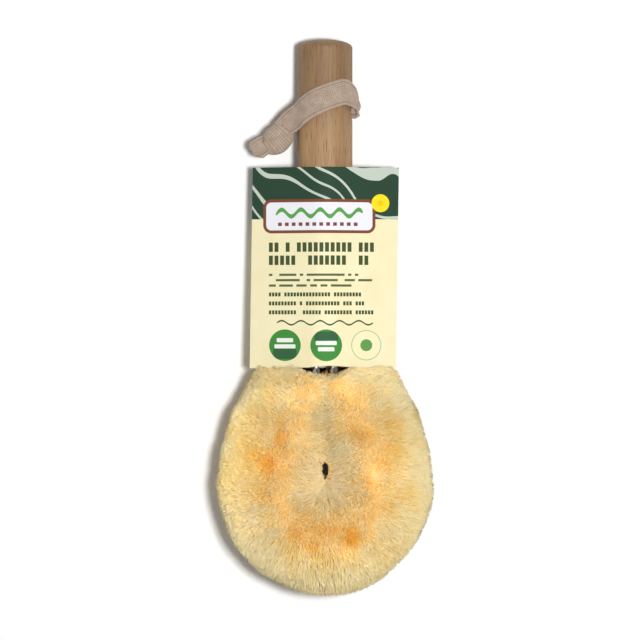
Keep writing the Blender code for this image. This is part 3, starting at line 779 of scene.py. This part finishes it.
# Thin board, offset printed in plain inks, uncoated: matt, faintly mottled, with bare edges.
# The print is plain: stripes, waves, dots, roundels, and blocks in place of lines of words.
printed = {
    "bandFoot": 116.4, "stripePitch": 8.4, "stripeShare": 0.2, "stripeTurn": 0.62, "stripeBend": 26.0,
    "blocks": [  # middle, half size, corner and ink, laid one over another on the front
        ((-2.5, 117.6), (24.5, 7.4), 3.6, "#7b4530"), ((-2.5, 117.6), (23.2, 6.1), 2.3, "#eeeef4"),
        ((24.2, 123.4), (3.9, 3.9), 3.9, "#fde21a"), ((24.2, 123.4), (1.3, 1.3), 1.3, "#f0c81c"),
        ((-17.5, 61.4), (6.9, 6.9), 6.9, "#3f8a3b"), ((-17.5, 58.0), (5.2, 2.6), 2.4, "#2f5f3a"),
        ((-17.5, 63.6), (3.6, 0.9), 0.4, "#eef3ea"), ((-17.5, 60.9), (4.6, 0.9), 0.4, "#eef3ea"),
        ((0.5, 61.4), (6.9, 6.9), 6.9, "#3f8a3b"), ((0.5, 64.8), (5.2, 2.6), 2.4, "#2f5f3a"),
        ((0.5, 62.4), (4.6, 0.9), 0.4, "#eef3ea"), ((0.5, 59.7), (3.6, 0.9), 0.4, "#eef3ea"),
        ((18.0, 61.4), (6.6, 6.6), 6.6, "#a9c48e"), ((18.0, 61.4), (6.2, 6.2), 6.2, "#f6ecc2"),
        ((18.0, 61.4), (2.6, 2.6), 2.6, "#5d9a4c"),
    ],
    "waves": [  # middle, half size, height and pitch of the swell, and ink
        ((-2.5, 119.0), (19.0, 0.95), 1.5, 8.4, "#55a04a"), ((0.0, 71.2), (21.0, 0.35), 0.9, 8.4, "#2f4a2c"),
    ],
    "rows": [
        {"top": 114.9, "pitch": 9.0, "lines": 1, "bar": 0.17, "left": -20.5, "width": 36.0,
         "cell": 3.0, "block": 0.55, "gaps": 0.0, "shortest": 1.0, "seed": 1.0, "ink": "#7b4530"},
        {"top": 106.2, "pitch": 5.7, "lines": 2, "bar": 0.72, "left": -24.5, "width": 49.0,
         "cell": 2.45, "block": 0.7, "gaps": 0.15, "shortest": 0.7, "seed": 5.0, "ink": "#3e4f2a"},
        {"top": 92.6, "pitch": 2.35, "lines": 3, "bar": 0.42, "left": -24.5, "width": 47.0,
         "cell": 1.5, "block": 1.1, "gaps": 0.2, "shortest": 0.7, "seed": 9.0, "ink": "#56653f"},
        {"top": 84.4, "pitch": 3.9, "lines": 3, "bar": 0.44, "left": -24.5, "width": 50.0,
         "cell": 1.35, "block": 0.76, "gaps": 0.16, "shortest": 0.8, "seed": 2.0, "ink": "#3e4f2a"},
    ],
    "backRows": [
        {"top": 109.0, "pitch": 5.7, "lines": 1, "bar": 0.72, "left": -24.5, "width": 44.0,
         "cell": 3.6, "block": 0.8, "gaps": 0.17, "shortest": 0.8, "seed": 6.0, "ink": "#3e4f2a"},
        {"top": 99.0, "pitch": 3.4, "lines": 11, "bar": 0.42, "left": -24.5, "width": 49.0,
         "cell": 1.35, "block": 1.1, "gaps": 0.17, "shortest": 0.6, "seed": 8.0, "ink": "#56653f"},
    ],
}
cardMaterial, tree, shader = startMaterial("printedCard", {"Roughness": 0.7, "Specular IOR Level": 0.25})
spot = brushPlace(tree)
parts = addNode(tree, "ShaderNodeSeparateXYZ", {}, [spot])
flat = addNode(
    tree, "ShaderNodeCombineXYZ", {}, {"X": parts.outputs["X"], "Y": parts.outputs["Y"]}
).outputs[0]
onFront = addNode(tree, "ShaderNodeMath", "GREATER_THAN", [parts.outputs["Z"], 0.0]).outputs[0]
onBack = addNode(tree, "ShaderNodeMath", "SUBTRACT", [1.0, onFront]).outputs[0]
inks = []  # mask and colour, laid one over another


def printInk(mask, colour, side=None):
    if side:
        mask = addNode(tree, "ShaderNodeMath", "MULTIPLY", [mask, side]).outputs[0]
    inks.append((mask, colour))


inBand = addNode(tree, "ShaderNodeMath", "GREATER_THAN", [parts.outputs["Y"], printed["bandFoot"]])
printInk(inBand, "#223d2c")
drift = addNode(tree, "ShaderNodeTexNoise", {}, {"Vector": flat, "Scale": 0.045, "Detail": 0.0})
slant = addNode(
    tree, "ShaderNodeVectorMath", "DOT_PRODUCT",
    [flat, (math.sin(printed["stripeTurn"]), math.cos(printed["stripeTurn"]), 0.0)],
)
bent = addNode(tree, "ShaderNodeMath", "MULTIPLY_ADD", [drift, printed["stripeBend"], slant])
repeat = addNode(tree, "ShaderNodeMath", "DIVIDE", [bent, printed["stripePitch"]])
repeat = addNode(tree, "ShaderNodeMath", "FRACT", [repeat])
onStripe = addNode(tree, "ShaderNodeMath", "LESS_THAN", [repeat, printed["stripeShare"]])
printInk(onStripe, "#c3cdc0", inBand)
for middle, half, corner, ink in printed["blocks"]:
    printInk(roundedMask(tree, flat, middle, half, corner), ink, onFront)
for middle, half, tall, pitch, ink in printed["waves"]:
    swell = addNode(tree, "ShaderNodeMath", "MULTIPLY", [parts.outputs["X"], 2 * math.pi / pitch])
    swell = addNode(tree, "ShaderNodeMath", "SINE", [swell])
    shifted = addNode(tree, "ShaderNodeMath", "MULTIPLY_ADD", [swell, tall, parts.outputs["Y"]])
    wave = addNode(tree, "ShaderNodeCombineXYZ", {}, {"X": parts.outputs["X"], "Y": shifted})
    printInk(roundedMask(tree, wave, middle, half, half[1]), ink, onFront)
for side, group in ((onFront, "rows"), (onBack, "backRows")):
    for rows in printed[group]:
        printInk(rowsMask(tree, flat, rows), rows["ink"], side)
mottle = addNode(tree, "ShaderNodeTexNoise", {}, {"Vector": spot, "Scale": 0.09, "Detail": 2.0})
surface = colourRamp(tree, mottle, [(0.3, "#f2e7b9"), (0.7, "#f6edc5")])
for mask, colour in inks:
    surface = addNode(
        tree, "ShaderNodeMix", {"data_type": "RGBA"}, {0: mask, 6: surface, 7: hexColour(colour)}
    ).outputs[2]
pulp = addNode(tree, "ShaderNodeTexNoise", {}, {"Vector": spot, "Scale": 2.6, "Detail": 3.0})
bump = addNode(tree, "ShaderNodeBump", {}, {"Strength": 0.12, "Distance": 0.05 * mm, "Height": pulp})
setInputs(tree, shader, {"Base Color": surface, "Normal": bump})

plainCard, tree, shader = startMaterial("bareCardInside", {"Roughness": 0.8})
fleck = addNode(tree, "ShaderNodeTexNoise", {}, {"Vector": brushPlace(tree), "Scale": 0.9, "Detail": 4.0})
board = colourRamp(tree, fleck, [(0.35, "#dcd6c8"), (0.65, "#ebe6da")])
setInputs(tree, shader, {"Base Color": board})
cardSleeve = meshObject("cardSleeve", makeCard(), [cardMaterial, plainCard])
wall = cardSleeve.modifiers.new("wall", "SOLIDIFY")
wall.thickness = card["wall"] * mm
wall.offset = -1.0
wall.material_offset = 1
wall.material_offset_rim = 1
madePlain(cardSleeve).set_sharp_from_angle(angle=math.radians(32))
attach(cardSleeve, "card")
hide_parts("card_sleeve")
print("card sleeve is printed")


strap = {
    "handle": 12.0, "gap": 0.3, "hole": 163.027, "width": 11.2, "thick": 1.0, "bunched": 5.2,
    "bulge": 4.2, "rise": 8.8, "drop": 9.2, "sag": 0.45, "layOn": math.radians(52),
    "layOff": math.radians(146), "columns": 14, "hem": 1.0, "hemHeight": 0.26,
    "threadPitch": 0.9, "knot": (-20.9, 151.7, 0.0), "knotRun": (-0.744, -0.668, 0.0),
    "knotHalf": (5.6, 7.0, 4.1), "knotEntry": (-18.2, 156.8, 1.6), "tailBase": (-26.0, 149.6, 0.0),
    "tailEnd": (-31.8, 145.7, 1.6), "tailEndUnder": (-31.0, 145.4, -0.9),
    "threadMiddle": 30.0, "knotAround": 72,
}


def wrapHeight(turn):
    share = (turn - strap["layOn"]) / (strap["layOff"] - strap["layOn"])
    return strap["hole"] + strap["rise"] - strap["drop"] * (
        (1 - strap["sag"]) * share + strap["sag"] * share * share
    )


def onHandle(turn):
    far = strap["handle"] + strap["gap"] + strap["thick"] / 2
    return Vector((far * math.cos(turn), wrapHeight(turn), far * math.sin(turn)))


def addRibbon(shape, points, widths, facings, thick, uprights=None, cup=0.0):
    threads = shape.loops.layers.uv.get("threads") or shape.loops.layers.uv.new("threads")
    columns = strap["columns"]
    across, length, rings = {}, 0.0, []
    for this, point in enumerate(points):
        before, after = points[max(this - 1, 0)], points[min(this + 1, len(points) - 1)]
        run = (after - before).normalized()
        face = (facings[this] - run * facings[this].dot(run)).normalized()
        side = run.cross(face)
        if uprights:
            side = side.lerp(Vector((0.0, 1.0, 0.0)), uprights[this]).normalized()
        half = widths[this] / 2
        gathered = min(max((strap["width"] - widths[this]) / (strap["width"] - strap["bunched"]), 0.0), 1.0)
        length += (point - points[max(this - 1, 0)]).length
        upper, lower = [], []
        for column in range(columns + 1):
            share = -1 + 2 * column / columns
            hem = abs(share) * strap["width"] / 2 > strap["width"] / 2 - strap["hem"]
            deep = thick / 2 * (1 - 0.55 * share ** 8) + strap["hemHeight"] * hem * (abs(share) < 0.99)
            lift = gathered * 0.75 * math.cos(1.5 * math.pi * share) + cup * (share ** 2 - 0.5)
            lift += 0.16 * noise.noise(Vector((share * 1.6, length * 0.16, half)))
            middle = point + side * half * share + face * lift
            for edge, far in ((upper, deep), (lower, -deep)):
                vert = shape.verts.new(toWorld @ ((middle + face * far) * mm))
                across[vert] = (share * strap["width"] / 2 + strap["threadMiddle"], length)
                edge.append(vert)
        rings.append(upper + lower[::-1])
    for corners in (rings[0][::-1], rings[-1], *ringCorners(rings)):
        face = shape.faces.new(corners)
        for loop in face.loops:
            loop[threads].uv = across[loop.vert]


def eased(values, points):  # spreads a few values evenly over all the points
    out = []
    for this in range(len(points)):
        spot = this / (len(points) - 1) * (len(values) - 1)
        low = min(int(spot), len(values) - 2)
        share = easeBetween(0.0, 1.0, spot - low)
        out.append(values[low] * (1 - share) + values[low + 1] * share)
    return out


def makeTape():
    handle, level = strap["handle"], strap["hole"]
    leave = Vector((handle + 1.1, level, 0.0))
    land = onHandle(strap["layOn"])
    arriving = Vector((-math.sin(strap["layOn"]), 0.0, math.cos(strap["layOn"])))
    hole = [Vector((-handle + 24 * step / 8, level, 0.0)) for step in range(8)]
    bulge = interpolate_bezier(
        leave, leave + Vector((strap["bulge"], 3.4, 0.4)),
        land - arriving * (strap["bulge"] + 0.6) - Vector((0.0, 0.1, 0.0)), land, 14,
    )
    turns = [strap["layOn"] + (strap["layOff"] - strap["layOn"]) * step / 18 for step in range(1, 19)]
    wrap = [onHandle(turn) for turn in turns]
    slope = strap["drop"] * (1 + strap["sag"]) / (
        (strap["layOff"] - strap["layOn"]) * (handle + strap["gap"] + strap["thick"] / 2)
    )
    leaving = Vector((-math.sin(turns[-1]), -slope, math.cos(turns[-1]))).normalized()
    run = Vector(strap["knotRun"]).normalized()
    entry = Vector(strap["knotEntry"])
    toKnot = interpolate_bezier(
        wrap[-1], wrap[-1] + leaving * 3.4, entry - run * 2.4 + Vector((0.0, 0.0, 0.3)), entry + run * 2.0, 16
    )[1:]
    points = hole + bulge + wrap + toKnot
    facings = []
    for this in range(len(hole) + len(bulge) + len(wrap)):
        step = points[this + 1] - points[max(this - 1, 0)]
        facings.append(Vector((0.0, 1.0, 0.0)).cross(step).normalized())
    lastFacing = Vector((math.cos(turns[-1]), 0.0, math.sin(turns[-1])))
    facings += eased([lastFacing, Vector((-0.45, -0.1, 0.9)), Vector((-0.2, 0.05, 0.98))], toKnot)
    widths = [strap["bunched"]] * len(hole)
    widths += eased([strap["bunched"], strap["width"]], bulge)
    widths += [strap["width"]] * len(wrap)
    widths += eased([strap["width"], 10.2, 8.2], toKnot)
    uprights = [0.0] * len(hole) + eased([0.3, 0.95, 0.5, 0.0], bulge) + [0.0] * (len(wrap) + len(toKnot))
    shape = bmesh.new()
    addRibbon(shape, points, widths, facings, strap["thick"], uprights)
    return shape, wrap[-1], entry


def makeLowerRun():
    run = Vector(strap["knotRun"]).normalized()
    entry = Vector(strap["knotEntry"]) + Vector((0.3, -0.4, -2.6))
    start = Vector((-strap["handle"] - 0.1, strap["hole"], 0.0))
    points = interpolate_bezier(
        start, start + Vector((-2.6, 0.0, 0.0)), entry - run * 2.0, entry + run * 2.0, 14
    )
    shape = bmesh.new()
    addRibbon(
        shape, points, eased([strap["bunched"], 7.4], points),
        [Vector((0.0, 0.0, 1.0))] * len(points), strap["thick"],
    )
    return shape


def makeKnot():
    shape = bmesh.new()
    threads = shape.loops.layers.uv.new("threads")
    run = Vector(strap["knotRun"]).normalized()
    up = Vector((0.0, 0.0, 1.0))
    side = run.cross(up)
    wide, long, deep = strap["knotHalf"]
    middle = Vector(strap["knot"])
    stations = [-1.0, -0.97, -0.92, -0.85, -0.76, -0.66, -0.56, -0.46, -0.36, -0.26, -0.16, -0.05]
    stations += [-spot for spot in stations[::-1]]
    around, rings, where = strap["knotAround"], [], {}
    for spot in stations:
        ring = []
        for this in range(around):
            turn = 2 * math.pi * this / around
            lean = math.cos(turn)
            lobe = easeBetween(-0.6, 0.6, -lean)
            size = max(1 - abs(spot) ** (2.5 - 0.4 * lobe), 0.05) ** 0.5
            squared = (abs(lean) ** 3 + abs(math.sin(turn)) ** 3) ** (-1 / 3)
            overlap = 0.9 * easeBetween(-0.1, 0.06, lean - 0.6 * spot - 0.1) * (math.sin(turn) > 0)
            overlap *= easeBetween(0.0, 0.35, math.sin(turn))
            wrinkle = 0.42 * noise.noise(Vector((lean * 2.2, spot * 1.5 + 4.0, math.sin(turn) * 1.7)))
            wrinkle += 0.26 * math.cos(lean * 8.0 + 1.0) * math.exp(-(((spot + 0.85) / 0.4) ** 2))
            wrinkle += 0.16 * noise.noise(Vector((lean * 6.0, spot * 3.5, math.sin(turn) * 5.0)))
            grow = size * squared
            place = middle + run * spot * long
            place += side * ((wide + 0.6 * lobe) * grow + wrinkle + overlap * 0.4) * lean
            place += up * (deep * grow + wrinkle + overlap) * math.sin(turn)
            place -= run * 1.0 * lean * spot
            vert = shape.verts.new(toWorld @ (place * mm))
            # The knot's threads stay between the hems.
            where[vert] = (strap["threadMiddle"] + 4.0 * math.sin(spot * long / 4.6), turn)
            ring.append(vert)
        rings.append(ring)
    for corners in (rings[0][::-1], rings[-1], *ringCorners(rings)):
        face = shape.faces.new(corners)
        closes = max(where[v][1] for v in corners) > 6.0 and len(corners) == 4
        for loop in face.loops:
            u, turn = where[loop.vert]
            if closes and turn == 0.0:
                turn = 2 * math.pi
            loop[threads].uv = (u, turn * 5.3)
    base = Vector(strap["tailBase"])
    for layer, end in ((1, strap["tailEnd"]), (-1, strap["tailEndUnder"])):
        start = middle + up * layer * 0.5
        points = interpolate_bezier(
            start, base + up * layer * 0.75,
            base + (Vector(end) - base) * 0.5 + up * layer * 0.9, Vector(end), 16,
        )
        facing = [Vector((0.12 * layer, 0.1, 1.0))] * len(points)
        widths = eased([6.6, 7.6, 8.1, 8.2, 8.1], points)
        for back, share in ((1, 0.5), (2, 0.78), (3, 0.92)):
            widths[-back] *= share
        addRibbon(shape, points, widths, facing, strap["thick"] * 0.95, cup=1.5 * layer)
    bmesh.ops.recalc_face_normals(shape, faces=shape.faces)
    return shape


# Unbleached cotton tape in plain weave, washed soft: matt and fuzzy, thread by thread, with a
# folded hem along each edge. The threads are drawn a little coarse, so that they show, and the
# weave's hollows are painted shade, darker in the colour than the threads' crowns.
cottonMaterial, tree, shader = startMaterial("wovenCottonTape", {"Roughness": 0.92, "Sheen Weight": 0.2})
threadUv = addNode(tree, "ShaderNodeUVMap", {"uv_map": "threads"}).outputs[0]
turned = addNode(
    tree, "ShaderNodeVectorMath", "SCALE",
    {0: threadUv, "Scale": 2 * math.pi / strap["threadPitch"] / 2},
)
acrossAndAlong = addNode(tree, "ShaderNodeSeparateXYZ", {}, [turned])
# Painted shade: the weave below is darker in the hollows between the threads.
warp = addNode(tree, "ShaderNodeMath", "SINE", [acrossAndAlong.outputs["X"]])
weft = addNode(tree, "ShaderNodeMath", "SINE", [acrossAndAlong.outputs["Y"]])
weave = addNode(tree, "ShaderNodeMath", "MULTIPLY", [warp, weft])
weave = addNode(tree, "ShaderNodeMath", "ABSOLUTE", [weave])
blotch, fuzz = [
    addNode(
        tree, "ShaderNodeTexNoise", {},
        {"Vector": brushPlace(tree), "Scale": scale, "Detail": detail, "Roughness": roughness},
    )
    for scale, detail, roughness in ((0.32, 4.0, 0.65), (2.6, 3.0, 0.7))
]
level = addNode(tree, "ShaderNodeMath", "MULTIPLY", [fuzz, 0.46])
for part, share in ((blotch, 0.42), (weave, 0.27)):
    level = addNode(tree, "ShaderNodeMath", "MULTIPLY_ADD", [part, share, level])
cloth = colourRamp(
    tree, level,
    [(0.38, "#917e6d"), (0.52, "#a69280"), (0.66, "#b7a392"), (0.8, "#c9b7a8")],
)
uvParts = addNode(tree, "ShaderNodeSeparateXYZ", {}, [threadUv])
fromMiddle = addNode(tree, "ShaderNodeMath", "SUBTRACT", [uvParts.outputs["X"], strap["threadMiddle"]])
fromMiddle = addNode(tree, "ShaderNodeMath", "ABSOLUTE", [fromMiddle])
hemLine = strap["width"] / 2 - strap["hem"]
onHem = addNode(
    tree, "ShaderNodeMapRange", {},
    {"Value": fromMiddle, "From Min": hemLine - 0.1, "From Max": hemLine + 0.2, "To Max": 0.35},
)
hemmed = addNode(
    tree, "ShaderNodeMix", {"data_type": "RGBA"}, {0: onHem, 6: cloth, 7: hexColour("#bfa892")}
)
onStitch = addNode(tree, "ShaderNodeMath", "COMPARE", [fromMiddle, hemLine - 0.25, 0.2])
stitched = addNode(
    tree, "ShaderNodeMix", {"data_type": "RGBA", "blend_type": "MULTIPLY"},
    {0: onStitch, 6: hemmed, 7: hexColour("#dcd6d0")},
)
bump = addNode(tree, "ShaderNodeBump", {}, {"Strength": 0.45, "Distance": 0.12 * mm, "Height": level})
setInputs(tree, shader, {"Base Color": stitched, "Normal": bump})

tapeShape, tapeLeaves, tapeEnters = makeTape()
strapTape = meshObject("strapTape", tapeShape, cottonMaterial)
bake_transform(strapTape)
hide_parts("strap_wrap", "strap_upper_run")
strapLowerRun = meshObject("strapLowerRun", makeLowerRun(), cottonMaterial)
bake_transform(strapLowerRun)
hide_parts("strap_lower_run")
strapKnot = meshObject("strapKnot", makeKnot(), cottonMaterial, "strap_end")
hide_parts("strap_knot")
print("strap is tied")
